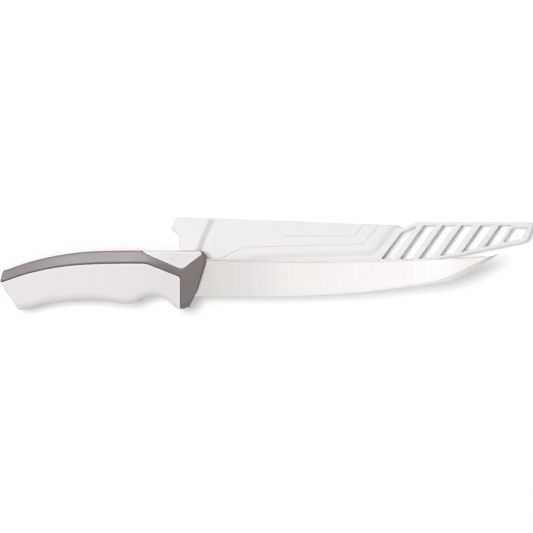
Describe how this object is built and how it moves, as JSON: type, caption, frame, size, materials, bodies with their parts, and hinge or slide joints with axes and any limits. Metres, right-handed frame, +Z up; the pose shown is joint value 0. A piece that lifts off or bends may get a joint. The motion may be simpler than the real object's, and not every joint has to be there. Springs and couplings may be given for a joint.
{
  "type": "fillet knife with sheath",
  "caption": "Fillet knife with a slim upswept blade, a moulded two-tone handle with guard, and a vented hanging sheath lying beneath it.",
  "frame": {"origin": "middle of the footprint of knife and sheath, on the surface they lie on", "axes": "+X along the blade towards its point, +Y from the cutting edge towards the spine, +Z up from the surface"},
  "size_m": [0.3252, 0.0568, 0.0285],
  "materials": {
    "blade_steel": "brushed across the blade",
    "handle_plastic": "fine moulded texture",
    "grip_rubber": "matt",
    "sheath_plastic": "satin"
  },
  "bodies": {
    "knife": {"blade": "blade_steel", "handle_core": "handle_plastic", "soft_grip": "grip_rubber"},
    "sheath": {"sheath_front": "sheath_plastic", "sheath_back": "sheath_plastic"}
  },
  "joints": [
    {"name": "sheath_draw", "type": "slide", "parent": "knife", "child": "sheath", "axis": [1, 0, 0], "range_m": [0, 0.2]}
  ]
}
